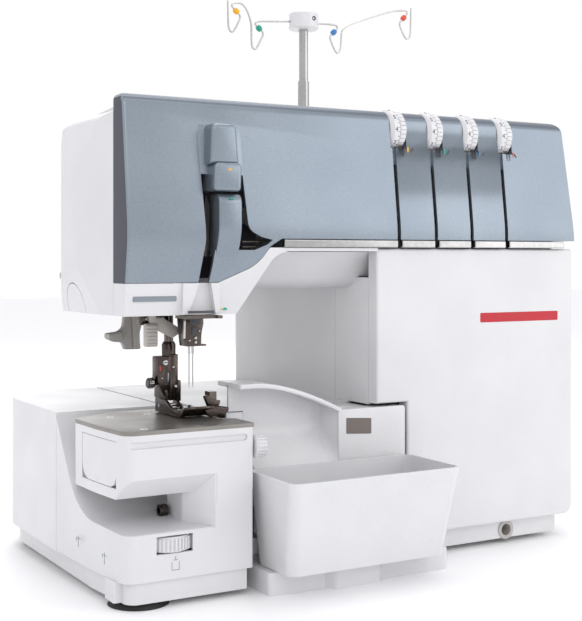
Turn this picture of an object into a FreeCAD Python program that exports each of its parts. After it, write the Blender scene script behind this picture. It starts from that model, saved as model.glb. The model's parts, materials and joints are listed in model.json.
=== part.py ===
import FreeCAD, Part
import math
import os
import re
import Sketcher

# Overlock machine, modelled in millimetres.  Working frame: X runs right from the left
# side of the base, Y runs back from the front of the free arm, Z is up from the table.
# Every finished piece is then placed so that the origin is under the middle of the machine.

Vector = FreeCAD.Vector
doc = FreeCAD.newDocument("overlocker")
sheet = doc.addObject("Spreadsheet::Sheet", "dims")

driving = {
    # whole machine
    "spanLeft": 0, "spanRight": 465, "spanFront": -49, "spanBack": 301,
    "wall": 2.5, "gap": 0.4, "caseTop": 364, "skirt": 20, "footHeight": 4.5,
    # base
    "baseBack": 277, "baseTop": 126, "baseCorner": 55, "seamX": 93, "seamY": 119, "plinthInset": 7,
    # free arm
    "armRight": 108, "armFront": 8.2, "armCorner": 10, "armUnder": 76.6, "armTop": 122, "plateThick": 3,
    "recessRight": 77, "recessFloor": 53, "armBack": 80, "wheelY": 16.5,
    # tower
    "towerLeft": 232.5, "towerRight": 440, "towerTop": 219.6, "frontY": 24, "frontDeep": 12,
    "midSplit": 86, "coverTop": 252.4, "notchX": 262.5, "notchZ": 128.5,
    # head
    "headLeft": 19, "headBack": 165, "headUnder": 203, "panelDeep": 49, "greyUnder": 226.8,
    "greyBand": 259.4, "bandUnder": 250, "capLeft": 8, "headRightTop": 434,
    # tension dials and thread slots
    "dialFirst": 257, "dialPitch": 37, "dialWidth": 14, "dialRadius": 17.5, "dialY": 44.5, "dialZ": 348.5,
    "slotWidth": 3.4, "dialBore": 3.05, "dialAxle": 3,
    # needle, presser and loopers
    "needleX": 86.2, "needleY": 60, "needleSpacing": 3.1, "needleTip": 146, "clampUnder": 178,
    "clampTop": 201, "barRadius": 3.2, "presserX": 79.5, "presserY": 86, "presserRadius": 3.5,
    # drive
    "shaftY": 120, "shaftZ": 70, "shaftRadius": 5, "wheelRadius": 33, "wheelWidth": 20,
    "motorY": 215, "motorZ": 75, "motorRadius": 27, "pulleyX": 405, "pulleyWidth": 10,
    "bigPulley": 30, "smallPulley": 9, "beltThick": 2,
    # looper cover and bin
    "coverLeft": 110, "coverRight": 260, "hingeY": 31, "hingeZ": 29, "rodRadius": 2.5,
    "knuckleRadius": 5, "binLeft": 113, "binRight": 262, "binTop": 87, "binFloor": 17.4, "binWall": 2,
    "shelfTop": 17,
    # spool stand
    "standZ": 226, "standThick": 6, "mastX": 263, "mastY": 190, "mastOuter": 5.3, "mastInner": 4.3,
    "hubUnder": 456, "hubTop": 472, "outerTop": 408, "wireRadius": 0.9, "beadRadius": 3,
    # right-hand side controls
    "sideDialRadius": 18, "socketX": 371, "socketZ": 11.5, "socketRadius": 5, "socketLength": 15,
}
for row, (alias, value) in enumerate(driving.items(), start=1):
    sheet.set(f"A{row}", alias)
    sheet.set(f"B{row}", str(value))
    sheet.setAlias(f"B{row}", alias)
doc.recompute()

names = re.compile(r"\b(" + "|".join(driving) + r")\b")
pieces = {}


def full(rule):
    """Turn a rule such as 'wall + 2' into an expression on the sheet."""
    return names.sub(r"dims.\1", str(rule))


def amount(rule):
    """Present value of a rule."""
    return float(sheet.evalExpression(full(rule)))


def bind(obj, prop, rule):
    """Bind one property to a rule, or set it when the rule is a plain number."""
    obj.setExpression(prop, full(rule))


def less(a, b):
    """Rule for the distance from a to b."""
    return f"({b}) - ({a})"


def keep(label, obj):
    """Record a finished sub-part under its name and place it in the final frame."""
    if obj.TypeId in ("Part::Box", "Part::Cylinder", "Part::Cone"):
        obj = group(obj)
    obj.Label = label
    bind(obj, "Placement.Base.x", "-(spanLeft + spanRight) / 2")
    bind(obj, "Placement.Base.y", "-(spanFront + spanBack) / 2")
    pieces[label] = obj


def block(x0, y0, z0, x1, y1, z1):
    """Box between two corners."""
    obj = doc.addObject("Part::Box", "block")
    for side, low, high in (("Length", x0, x1), ("Width", y0, y1), ("Height", z0, z1)):
        bind(obj, side, less(low, high))
    for axis, low in zip("xyz", (x0, y0, z0)):
        bind(obj, f"Placement.Base.{axis}", low)
    return obj


turns = {
    "X": FreeCAD.Rotation(Vector(0, 1, 0), 90),
    "Y": FreeCAD.Rotation(Vector(1, 0, 0), -90),
    "Z": FreeCAD.Rotation(),
}


def rod(axis, x, y, z, radius, length):
    """Round bar that starts at a point and runs along +axis."""
    obj = doc.addObject("Part::Cylinder", "rod")
    obj.Placement = FreeCAD.Placement(Vector(), turns[axis])
    bind(obj, "Radius", radius)
    bind(obj, "Height", length)
    for letter, place in zip("xyz", (x, y, z)):
        bind(obj, f"Placement.Base.{letter}", place)
    return obj


def cone(axis, x, y, z, radius1, radius2, length):
    """Tapered round bar."""
    obj = doc.addObject("Part::Cone", "cone")
    obj.Placement = FreeCAD.Placement(Vector(), turns[axis])
    bind(obj, "Radius1", radius1)
    bind(obj, "Radius2", radius2)
    bind(obj, "Height", length)
    for letter, place in zip("xyz", (x, y, z)):
        bind(obj, f"Placement.Base.{letter}", place)
    return obj


def fuse(*shapes):
    if len(shapes) == 1:
        return shapes[0]
    obj = doc.addObject("Part::MultiFuse", "union")
    obj.Shapes = list(shapes)
    obj.Refine = True
    return obj


def cut(base, *tools):
    obj = doc.addObject("Part::Cut", "cut")
    obj.Base = base
    obj.Tool = fuse(*tools)
    obj.Refine = True
    return obj


def common(*shapes):
    obj = doc.addObject("Part::MultiCommon", "common")
    obj.Shapes = list(shapes)
    obj.Refine = True
    return obj


def group(*shapes):
    """Separate identical solids kept in one sub-part."""
    obj = doc.addObject("Part::Compound", "group")
    obj.Links = list(shapes)
    return obj


def tube(axis, x, y, z, outer, inner, length):
    return cut(rod(axis, x, y, z, outer, length), rod(axis, x, y, z, inner, length))


# plane: (role of the origin plane, 3-D point of sketch u, v and depth, sign of the offset)
planes = {
    "XY": ("XY_Plane", lambda u, v, w: Vector(u, v, w), 1),
    "XZ": ("XZ_Plane", lambda u, v, w: Vector(u, w, v), -1),
    "YZ": ("YZ_Plane", lambda u, v, w: Vector(w, u, v), 1),
}


def prism(plane, start, end, outline, soften=None):
    """Padded outline.  A third value at a corner rounds it; soften = (side, radius) rounds
    the rim of the 'start' or 'end' face."""
    role, place, sign = planes[plane]
    body = doc.addObject("PartDesign::Body", "prism")
    sketch = body.newObject("Sketcher::SketchObject", "outline")
    origin = [part for part in body.Origin.OriginFeatures if part.Role == role][0]
    sketch.AttachmentSupport = (origin, "")
    sketch.MapMode = "FlatFace"
    sketch.setExpression("AttachmentOffset.Base.z", full(f"{sign} * ({start})"))
    corners = [Vector(amount(c[0]), amount(c[1]), 0) for c in outline]
    count = len(corners)
    for i, corner in enumerate(corners):
        sketch.addGeometry(Part.LineSegment(corner, corners[(i + 1) % count]), False)
    for i, corner in enumerate(corners):
        sketch.addConstraint(Sketcher.Constraint("Coincident", i, 2, (i + 1) % count, 1))
        for kind, near, rule in (("DistanceX", corner.x, outline[i][0]), ("DistanceY", corner.y, outline[i][1])):
            mark = sketch.addConstraint(Sketcher.Constraint(kind, -1, 1, i, 1, near))
            if isinstance(rule, str):
                sketch.setExpression(f"Constraints[{mark}]", full(rule))
    pad = body.newObject("PartDesign::Pad", "pad")
    pad.Profile = sketch
    pad.Reversed = sign < 0
    bind(pad, "Length", less(start, end))
    doc.recompute()
    low, high = amount(start), amount(end)
    tip = pad
    radii = sorted({str(c[2]) for c in outline if len(c) > 2})
    for radius in radii:
        spots = [place(p.x, p.y, low) for p, c in zip(corners, outline) if len(c) > 2 and str(c[2]) == radius]
        far = [place(p.x, p.y, high) for p, c in zip(corners, outline) if len(c) > 2 and str(c[2]) == radius]
        picked = [
            f"Edge{n}" for n, edge in enumerate(tip.Shape.Edges, start=1)
            if any(joins(edge, a, b) for a, b in zip(spots, far))
        ]
        tip = round_edges(body, tip, picked, radius)
    if soften:
        side, radius = soften
        level = low if side == "start" else high
        normal = place(0, 0, 1)
        picked = [
            f"Edge{n}" for n, edge in enumerate(tip.Shape.Edges, start=1)
            if all(abs(v.Point.dot(normal) - level) < 1e-4 for v in edge.Vertexes)
        ]
        tip = round_edges(body, tip, picked, radius)
    return body


def joins(edge, a, b):
    ends = [v.Point for v in edge.Vertexes]
    if len(ends) != 2:
        return False
    return max(min((e - a).Length, (e - b).Length) for e in ends) < 1e-3


def round_edges(body, base, picked, radius):
    fillet = body.newObject("PartDesign::Fillet", "round")
    fillet.Base = (base, picked)
    bind(fillet, "Radius", radius)
    doc.recompute()
    return fillet


def made(name, shape):
    """Free-form solid that neither a sketch nor a primitive fits."""
    obj = doc.addObject("Part::Feature", name)
    obj.Shape = shape
    return obj


def path_wire(points, radius):
    """Bent wire: straight lengths of round bar with ball corners."""
    parts = []
    for a, b in zip(points, points[1:]):
        a, b = Vector(*a), Vector(*b)
        parts.append(Part.makeCylinder(radius, (b - a).Length, a, b - a))
    for p in points[1:-1]:
        parts.append(Part.makeSphere(radius, Vector(*p)))
    return parts[0].fuse(parts[1:]).removeSplitter()


# ---------------------------------------------------------------- base and free arm

def base_pan():
    """Plinth tray that carries the chassis."""
    def plan(inset):
        return [
            (f"12 + {inset}", f"3 + {inset}", f"9 - {inset}"), (f"armRight - 4 - {inset}", f"3 + {inset}"),
            (f"armRight - 4 - {inset}", f"32 + {inset}"), (f"427 - {inset}", f"32 + {inset}"),
            (f"427 - {inset}", f"baseBack - plinthInset - {inset}"),
            (f"plinthInset + {inset}", f"baseBack - plinthInset - {inset}", f"45 - {inset}"),
            (f"plinthInset + {inset}", 60),
        ]
    tray = prism("XY", "footHeight", "skirt", plan(0))
    hollow = prism("XY", "footHeight + 3", "skirt + 3", plan(3))
    catch = prism("XY", "footHeight + 0.6", "skirt", [(5, 13, 1.5), (12, 13), (12, 31), (5, 31, 1.5)])
    socket = rod("Y", "socketX", 20, "socketZ", "socketRadius + 3", 30)
    shelf = prism("XY", 0, "shelfTop", [
        (115, -12, 4), (162, -12), (168, -18, 6), (206, -18, 6), (212, -12), (276, -12, 4), (276, 35), (115, 35)],
        soften=("end", 1))
    brackets = [block(x, "hingeY + 1", "footHeight + 3", x + 6, "hingeY + 7", "hingeZ + 5") for x in (121, 250)]
    cheeks = [block(x, "hingeY - 4", "skirt + 2", x + 6, "hingeY + 7", "hingeZ + 5") for x in (121, 250)]
    rod_seat = rod("X", 110, "hingeY", "hingeZ", "rodRadius + 0.05", 160)
    keep("base_pan", cut(fuse(cut(tray, hollow), catch, shelf, *brackets, *cheeks), socket, rod_seat))


def knee_socket():
    """Bushing in the plinth that takes the knee lifter bar."""
    keep("knee_lifter_socket", tube("Y", "socketX", 31, "socketZ", "socketRadius + 3", "socketRadius", "socketLength"))


def feet():
    spots = [(30, 240), (410, 240), (410, 60), (125, 60)]
    pads = [rod("Z", x, y, 0, 10, "footHeight") for x, y in spots]
    stem = rod("Z", 28, 24, 3, 12, "footHeight - 3")
    keep("rubber_feet", group(fuse(cone("Z", 28, 24, 0, 22, 19, 3), stem), *pads))


def left_base():
    """Left base cover: the rear block, the low front lip, and the free arm in one moulding."""
    rear = prism("XY", "skirt", "baseTop", [
        (0, "seamY"), ("seamX - gap", "seamY"), ("seamX - gap", "baseBack"), (0, "baseBack", "baseCorner"),
    ], soften=("end", 2))
    swoosh = prism("YZ", 0, "armRight", [
        (0, "skirt"), ("seamY + 6", "skirt"), ("seamY + 6", "baseTop - 2"), ("seamY + 1", "baseTop - 2"),
        (78, 56, 55), (0, "recessFloor", 2),
    ])
    corner = prism("XY", "skirt", "baseTop", [
        ("armFront", 0, "armCorner"), ("armRight", 0, 2), ("armRight", "seamY + 6"), (0, "seamY + 6"), (3, 60),
    ])
    arm = prism("XY", "armUnder", "armTop", arm_plan(0))
    column = prism("XY", "skirt", "armTop", [
        ("recessRight", 0), ("armRight", 0, 2), ("armRight", "seamY + 2"), ("recessRight", "seamY + 2"),
    ])
    bevel = prism("YZ", 0, "recessRight + 1.5", [(-1, 70), (-1, 92), (22, 70)])
    rear_hollow = prism("XY", "skirt - 1", "baseTop - wall", [
        ("wall", "seamY + wall"), ("seamX - gap - wall", "seamY + wall"), ("seamX - gap - wall", "baseBack - wall"),
        ("wall", "baseBack - wall", "baseCorner - wall"),
    ])
    lip_hollow = prism("XY", "skirt - 1", "recessFloor - wall", [
        ("armFront + wall", "wall", "armCorner - wall"), ("armRight - wall", "wall"),
        ("armRight - wall", "seamY + 4"), ("wall", "seamY + 4"), ("3 + wall", 60),
    ])
    column_hollow = prism("XY", "skirt - 1", "baseTop", [
        ("recessRight + 4", "wall"), ("armRight - wall", "wall"), ("armRight - wall", "112 - wall"),
        ("recessRight + 4", "112 - wall"),
    ])
    arm_hollow = prism("XY", "armUnder + wall + 15", "baseTop", arm_plan(2.5))
    funnel_side = prism("XY", "recessFloor - 1", 93, [("recessRight", 0.5), (62, 24, 6), (62, 50), (79, 50), (79, 0.5)])
    side_door = block("armRight - 5", 12, 56, "armRight + 1", 104, 116)
    wheel_window = block(31.5, -1, 38, 59.5, "wall + 1", 50)
    wheel_notch = block(31.5, -1, 38, 59.5, 14, "recessFloor - wall")
    door_opening = block(-1, 14, 84, 14, 72, 117)
    front_groove = prism("XZ", -1, 1.6, [(9, 112.6, 2.4), (103, 112.6, 2.4), (103, 117.6, 2.4), (9, 117.6, 2.4)])
    solid = fuse(cut(fuse(rear, common(swoosh, corner), arm, column), bevel), funnel_side)
    keep("left_base_cover", cut(
        solid, rear_hollow, lip_hollow, column_hollow, arm_hollow, side_door, wheel_window, wheel_notch,
        door_opening, front_groove,
    ))
    door_outline = prism("YZ", -1, 14, [(14.4, 84.4, 10), (71.6, 84.4, 12), (71.6, 116.6), (14.4, 116.6)])
    skin = cut(
        prism("XY", "armUnder", "armTop", arm_plan(0.2)), prism("XY", "armUnder - 1", "armTop + 1", arm_plan(2.4)))
    keep("free_arm_door", common(skin, door_outline))


def arm_plan(inset):
    """Plan of the free arm, whose left side leans in towards the front."""
    return [
        (f"armFront + {inset}", inset, f"armCorner - {inset}"), (f"armRight - {inset}", inset, 1.5),
        (f"armRight - {inset}", f"112 - {inset}"), (84, f"112 - {inset}"), (f"38 + {inset} / 2", f"110 - {inset}", 28),
        (f"3.2 + {inset}", f"armBack + 8 - {inset}", 8), (f"4.4 + {inset}", 46),
    ]


def plates():
    """Cloth plate, needle plate and the fixed knife."""
    outline = [
        ("armFront", 0, "armCorner"), ("armRight + 1", 0, 2), ("armRight + 1", 28), (100, 36), (99, 48),
        (90, 111, 3), (38, 110, 30), (3.2, "armBack + 8", 8), (4.4, 46),
    ]
    needle_area = block(71.6, 41.6, "armTop - 1", 101, 104.4, "armTop + 5")
    plate = prism("XY", "armTop", "armTop + plateThick", outline, soften=("end", 0.6))
    keep("cloth_plate", cut(plate, needle_area))
    top = block(72, 42, "armTop", 95.4, 104, "armTop + plateThick")
    needle_slot = block("needleX - 4", "needleY - 2.5", "armTop - 1", "needleX + 4", "needleY + 8", "armTop + 5")
    feed_slots = [block(x, 71, "armTop - 1", x + 4, 99, "armTop + 5") for x in (75, 81, 87)]
    keep("needle_plate", cut(top, needle_slot, *feed_slots))
    keep("lower_knife", block(95.8, 50, 104, 97.4, 61.2, "armTop + plateThick - 0.2"))


def bed():
    """Cover of the bed between the left base cover and the tower."""
    def plan(inset, front):
        return [
            (f"seamX + gap + {inset}", f"seamY + 6.4 + {inset}"), (f"armRight + 0.6 + {inset}", f"seamY + 6.4 + {inset}"),
            (f"armRight + 0.6 + {inset}", front), (f"towerLeft - gap - {inset}", front),
            (f"towerLeft - gap - {inset}", f"baseBack - {inset}"), (f"seamX + gap + {inset}", f"baseBack - {inset}"),
        ]
    outer = prism("XY", "skirt", "baseTop", plan(0, 66))
    hollow = prism("XY", "skirt - 1", "baseTop - wall", plan(2.5, 60))
    shaft_hole = rod("X", 200, "shaftY", "shaftZ", "shaftRadius + 8", 60)
    spine_gap = block("towerLeft - 8", 88, "skirt - 1", "towerLeft + 2", 108, 44)
    keep("bed_cover", cut(outer, hollow, shaft_hole, spine_gap))


# ---------------------------------------------------------------- tower

def tower():
    """Front cover, middle cover and rear cover of the tower."""
    front = prism("XZ", "frontY", "frontY + frontDeep", [
        ("notchX", "skirt"), ("towerRight", "skirt", 9), ("towerRight", "coverTop", 2), ("towerLeft", "coverTop"),
        ("towerLeft", "notchZ"), ("notchX", "notchZ"),
    ], soften=("start", 2))
    front_hollow = prism("XZ", "frontY + wall", "frontY + frontDeep + 1", [
        ("notchX + wall", "skirt + wall"), ("towerRight - wall", "skirt + wall", 7),
        ("towerRight - wall", "coverTop - wall"), ("towerLeft + wall", "coverTop - wall"),
        ("towerLeft + wall", "notchZ + wall"), ("notchX + wall", "notchZ + wall"),
    ])
    keep("right_front_cover", cut(front, front_hollow))
    mid = block("towerLeft", "frontY + frontDeep + gap", "skirt", "towerRight", "midSplit", "towerTop")
    mid_hollow = block(
        "towerLeft + wall", 30, "skirt - 1", "towerRight - wall", "midSplit + 1", "towerTop - wall")
    low_gap = block("towerLeft - 1", 30, "skirt - 1", "notchX - 0.5", 66.5, "notchZ - 1.5")
    dial_holes = [rod("X", 430, 62, z, 4, 20) for z in (105, 160)]
    keep("tower_middle_cover", cut(mid, mid_hollow, low_gap, *dial_holes))
    rear = prism("XY", "skirt", "towerTop", [
        ("towerLeft", "midSplit + gap"), ("towerRight", "midSplit + gap"), ("towerRight", "baseBack", 12),
        ("towerLeft", "baseBack", 12),
    ])
    rear_hollow = prism("XY", "skirt - 1", "towerTop - wall", [
        ("towerLeft + wall", "midSplit - 2"), ("towerRight - wall", "midSplit - 2"),
        ("towerRight - wall", "baseBack - wall", 9.5), ("towerLeft + wall", "baseBack - wall", 9.5),
    ])
    top_opening = block("towerLeft + wall", 80, "towerTop - 5", "towerRight - wall", "headBack - 3", "towerTop + 1")
    shaft_holes = [rod("X", x, "shaftY", "shaftZ", "shaftRadius + 1", 20) for x in ("towerLeft - 8", "towerRight - 8")]
    inlet_holes = [block(430, y0, 46, 445, y1, 66) for y0, y1 in ((168, 188), (196, 224), (232, 252))]
    spine_gap = block("towerLeft - 1", 85, "skirt - 1", "towerLeft + 4", 108, 44)
    vents = [block(300 + 12 * i, "baseBack - 5", 60, 304 + 12 * i, "baseBack + 1", 100) for i in range(8)]
    keep("tower_rear_cover", cut(
        rear, rear_hollow, top_opening, spine_gap, *inlet_holes, *shaft_holes, *vents))


# ---------------------------------------------------------------- head

def head_form(inset):
    """Solid of the head's outside, or of its inside when inset is the wall."""
    front = prism("XZ", f"5 + {inset}", f"headBack - {inset}", [
        (f"headLeft + {inset}", f"headUnder + {inset}"), (f"109 - {inset}", f"headUnder + {inset}", 3),
        (f"139 - {inset}", f"247 + {inset}", 20), (f"150 - {inset}", f"bandUnder + {inset}"),
        (f"towerRight - {inset}", f"bandUnder + {inset}"), (f"towerRight - {inset}", "greyBand"),
        (f"headRightTop - {inset}", f"caseTop - {inset}", 9), (f"headLeft + {inset}", f"caseTop - {inset}", 5),
    ])
    side = prism("YZ", "headLeft - 1", "towerRight + 1", [
        (f"frontY + 5 + {inset}", "headUnder - 1"), (f"headBack - {inset}", "headUnder - 1"),
        (f"headBack - {inset}", f"caseTop - 6 - {inset}", 18), (90, f"caseTop - {inset}"),
        (f"32.5 + {inset}", f"caseTop - {inset}", 11), (f"frontY - 3.5 + {inset}", 262, 90),
    ])
    return common(front, side)


def head():
    outer = head_form(0)
    inner = head_form(2.5)
    panel_face = prism("XZ", 0, "panelDeep", [
        (0, "greyUnder"), (92, "greyUnder"), (124, 240, 34), (134, "greyBand - 6", 3), (144, "greyBand"),
        (450, "greyBand"), (450, "caseTop + 1"), (0, "caseTop + 1"),
    ])
    recess = prism("XZ", 0, 100, [
        (75.6, 225), (84.2, 225), (86.8, 239.6), (88, 250.7), (121, 250.7), (132, 255), (136, 258.4),
        (126.4, 260.6), (115.4, 266, 10), (112.6, 307), (112, 343), (78, 343), (78, 307), (80.3, 258, 30),
    ])
    slots = []
    for index in range(4):
        middle = f"dialFirst + {index} * dialPitch"
        left = f"{middle} - dialWidth / 2"
        slots.append(block(f"{left} - 0.8", 0, "dialZ - 15", f"{middle} + dialWidth / 2 + 0.8", 70, "caseTop + 2"))
        slots.append(block(f"{left} + 0.6", 0, "greyBand - 2", f"{left} + 0.6 + slotWidth", 30, "dialZ - 14"))
    keep("front_panel", cut(common(outer, panel_face), inner, recess, *slots))
    lower_face = prism("XZ", 0, "panelDeep", [
        (0, "headUnder - 1"), (150, "headUnder - 1"), (250, "bandUnder - 2"), ("towerLeft - 0.5", "bandUnder - 2"),
        ("towerLeft - 0.5", 252.6), (134, 252.6), (124, 239.5, 34), (92, "greyUnder - gap"), (0, "greyUnder - gap"),
    ])
    funnel = prism("XZ", 0, 30, [(66, 200), (90, 200), (85.5, 228), (76.5, 228)])
    funnel_wall = block(63, 24, "headUnder + 0.5", 93, 32.5, "greyUnder - gap")
    under_opening = block(32, 42, 200, 104, 150, 206)
    keep("head_lower_cover", cut(fuse(cut(common(outer, lower_face), inner), funnel_wall), funnel, under_opening))
    dial_room = block("dialFirst - 9", 40, 320, "dialFirst + 3 * dialPitch + 9", 70, "caseTop + 2")
    back_part = block(
        "headLeft + 24", "panelDeep + gap", "headUnder - 1", "towerRight + 1", "headBack + 1", "caseTop + 1")
    spine_opening = block(235, 60, 245, 437, 150, 256)
    keep("head_rear_cover", cut(common(outer, back_part), inner, under_opening, dial_room, spine_opening))
    def cap_form(inset, low):
        plan = prism("XY", low, "caseTop", [
            (f"headLeft + {inset}", "panelDeep + gap"), (f"capLeft + {inset}", 95, 50),
            (f"capLeft + 3 + {inset}", 140, 12), (f"24 + {inset}", f"158 - {inset}", 10),
            ("headLeft + 23.6", f"headBack - 2 - {inset}"), ("headLeft + 23.6", "panelDeep + gap")])
        rise = prism("XZ", 45, 170, [
            (50, low), (f"capLeft + 7 + {inset}", low), (f"capLeft + {inset}", 238, 90),
            (f"capLeft + {inset}", 312, 90), (f"capLeft + 7 + {inset}", f"350 - {inset}", 8), (50, f"362 - {inset}")])
        slope = prism("YZ", 0, 50, [
            ("panelDeep", low), ("panelDeep", f"361 - {inset}"), (f"140 - {inset}", f"347 - {inset}", 20),
            (f"headBack - {inset}", f"336 - {inset}"), (f"headBack - {inset}", low)])
        return common(plan, rise, slope)

    cap_hollow = common(cap_form(2.5, "headUnder - 1"), block(0, 40, 200, "headLeft + 24", 170, 364))
    disc_groove = cut(rod("X", 0, 112, 207, 19, 15.6), rod("X", 0, 112, 207, 18.2, 15.6))
    keep("head_end_cap", cut(cap_form(0, "headUnder"), cap_hollow, disc_groove))
    under = prism("YZ", "towerLeft - 120", "towerRight", [
        (36, 249.6), (62, 220, 25), ("headBack", 220), ("headBack", 249.6),
    ])
    under_hollow = prism("YZ", "towerLeft - 117.5", "towerRight - wall", [
        (40, 252), (40, 249), (64, 222.5, 22), ("headBack - wall", 222.5), ("headBack - wall", 252),
    ])
    floor_opening = block("towerLeft + wall", 40, 215, "towerRight - wall", "headBack - wall", 230)
    head_side = prism("XZ", 0, 170, [(90, 200), (110, 200), (140.6, 246.5, 20), (152, 249.8), (90, 249.8)])
    keep("arm_underside_cover", cut(under, under_hollow, floor_opening, head_side))


def trim():
    """Bright strip below the grey panel, in five lengths between the thread slots."""
    starts = [145.5] + [f"dialFirst + {i} * dialPitch - dialWidth / 2 + 0.6 + slotWidth + 0.3" for i in range(4)]
    ends = [f"dialFirst + {i} * dialPitch - dialWidth / 2 + 0.3" for i in range(4)] + [427]
    strips = [block(a, 19.6, 253, b, 23.2, 258.8) for a, b in zip(starts, ends)]
    keep("trim_strips", group(*strips))


# ---------------------------------------------------------------- thread tension and take-up

def tension():
    discs = []
    springs = []
    for index in range(4):
        left = f"dialFirst + {index} * dialPitch - dialWidth / 2"
        wheel = rod("X", left, "dialY", "dialZ", "dialRadius", "dialWidth")
        bore = rod("X", left, "dialY", "dialZ", "dialBore", "dialWidth")
        keep(f"tension_dial_{index + 1}", cut(wheel, bore))
        discs += [tube("X", f"{left} - {k}", "dialY", "dialZ", 9, "dialAxle", 0.8) for k in (2.4, 4)]
        springs.append(tube("X", f"{left} - 9", "dialY", "dialZ", 5, "dialAxle + 0.4", 4.6))
    axle = rod("X", "dialFirst - 20", "dialY", "dialZ", "dialAxle", "3 * dialPitch + 40")
    keep("tension_units", group(fuse(axle, *discs), *springs))


def take_up():
    keep("takeup_housing", prism("XZ", 48.2, 50, [
        (77, 229.6), (96, 229.6), (113, 243), (136, 254), (136, 266), (118, 274), (118, 345), (77, 345)]))
    fairing = common(
        prism("YZ", 80, 104, [(18, 342, 3), (48, 342), (48, 316), (17, 316, 1)]),
        prism("XY", 310, 345, [(80.4, 48), (80.4, 23, 3), (86, 16, 4), (103.4, 16, 2), (103.4, 48)]))
    hood = common(
        prism("YZ", 80, 106, [(13.5, 313, 3), (48, 313), (48, 295), (13.5, 295, 2)]),
        prism("XY", 290, 316, [(81.4, 48), (81.4, 24, 3), (87, 13, 4), (105, 13, 2), (105, 48)]))
    guard = common(
        prism("XZ", 10, 40, [(88.2, 250.9), (106.6, 250.9), (107.8, 291.6, 4), (89.4, 291.6, 3)]),
        prism("YZ", 80, 110, [(22, 250.9), (17.6, 270, 30), (16.2, 291.6), (19.4, 291.6), (20.8, 270), (24.4, 250.9)]))
    keep("takeup_covers", group(fairing, hood, guard))
    blade = prism("XZ", 30, 33, [(83, 246), (86.4, 246), (87.4, 284), (84.4, 291), (83, 284)])
    keep("takeup_lever", fuse(blade, block(83.4, 33, 262, 86.4, 47, 268)))
    wires = [
        path_wire([(115, 47, z), (115, 30, z), (x, 30, z), (x, 47, z)], 0.8) for x, z in ((126, 253), (130, 257))]
    slotted = cut(block(64, 20, 200.4, 93, 40, 202.6), block(68, 19, 199, 89, 22.5, 204))
    keep("thread_guides", group(slotted, *[made("guide_wire", wire) for wire in wires]))


# ---------------------------------------------------------------- needle, presser, loopers

def needle_parts():
    bar = rod("Z", "needleX + 1", "needleY", "clampTop", "barRadius", 110)
    clamp = block("needleX - 7", "needleY - 6", "clampUnder", "needleX + 10", "needleY + 7", "clampTop")
    lip = block("needleX - 8", "needleY - 7.5", "clampUnder", "needleX + 12", "needleY - 5.5", "clampUnder + 1")
    needles = []
    screws = []
    for side in (-1, 1):
        x = f"needleX + {side} * needleSpacing / 2"
        needles.append(fuse(
            cone("Z", x, "needleY", "needleTip", 0.15, 0.6, 6),
            rod("Z", x, "needleY", "needleTip + 6", 0.6, "clampUnder - needleTip - 12"),
            rod("Z", x, "needleY", "clampUnder - 6", 1, 6),
        ))
        screws.append(rod("Y", x, "needleY - 8", f"clampUnder + 11 + {4 * side}", 1.3, 3))
    keep("needles", group(*needles))
    keep("needle_bar", fuse(bar, clamp, lip, *screws))


def presser():
    """Presser bar, foot holder, foot and lifter."""
    keep("presser_bar", rod("Z", "presserX", "presserY", 172, "presserRadius", 150))
    screw = [rod("X", "presserX - 19", "presserY - 2", 150, 5, 5), rod("X", "presserX - 14", "presserY - 2", 150, 2, 4)]
    keep("foot_holder", cut(
        fuse(
            *screw,
            block("presserX - 11", "presserY - 8", 138, "presserX + 5", "presserY + 8", 171.6),
            block("presserX + 2", "presserY - 6", 133, "presserX + 8.5", "presserY + 4", 150),
        ),
        block("presserX - 7.5", "presserY - 6", 135, "presserX + 1", "presserY + 3", 146),
    ))
    sole = prism("YZ", "presserX - 7", "presserX + 14", [
        (38, 133), (38, 131.4), (46, 125.6, 6), (92, 125.6), (92, 128), (48, 128, 6), (40, 133.6)])
    needle_gap = block("needleX - 5.5", "needleY - 5", 120, "needleX + 5.5", "needleY + 5", 140)
    ears = [block(f"presserX - {a}", 79, 127, f"presserX - {b}", 88, 133) for a, b in ((6.5, 5), (1, -0.5))]
    pin = rod("X", "presserX - 6.5", 83, 131, 0.9, 6)
    keep("presser_foot", cut(fuse(sole, pin, *ears), needle_gap))
    lever = prism("XZ", 132, 137, [
        (51, 214), (63, 214), (63, 206), (70, 204, 4), (72, 192, 20), (66, 174, 3), (42, 174, 3), (48, 190, 20),
        (46, 204), (51, 206)])
    keep("presser_lifter", fuse(lever, rod("Y", 57, 132, 212, 6.4, 5)))
    keep("threader_lever", fuse(
        block(55, 70, 177, 66, 77, 191), block(58, 72, 191, 63, 76, 225)))


def loopers():
    lower = prism("XZ", 61.8, 64.2, [
        (93, 62), (101, 62), (101, 68), (98, 100, 6), (94, 112, 4), (79, 110), (78, 108.5), (90, 107, 4), (93, 98)])
    keep("lower_looper", fuse(lower, rod("Y", 97, 61.8, 62, 5, 2.4)))
    upper = prism("XZ", 65, 67.6, [
        (94.5, 62), (102.5, 62), (102.5, 70), (101, 104, 5), (93, 117, 2), (90, 117), (95, 102, 5), (94.5, 70)])
    keep("upper_looper", fuse(upper, rod("Y", 98.5, 65, 62, 5, 2.6)))
    bars = [block(x, 72, 114, x + 3.4, 98, 121.4) for x in (75.3, 81.3, 87.3)]
    keep("feed_dogs", fuse(*bars, block(75.3, 74, 110, 90.7, 90, 114)))
    keep("upper_knife", prism("XZ", 52, 60, [
        (100.2, 76), (104, 76), (104, 143), (98, 143), (98, 136), (100.2, 133)]))


# ---------------------------------------------------------------- drive

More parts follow.
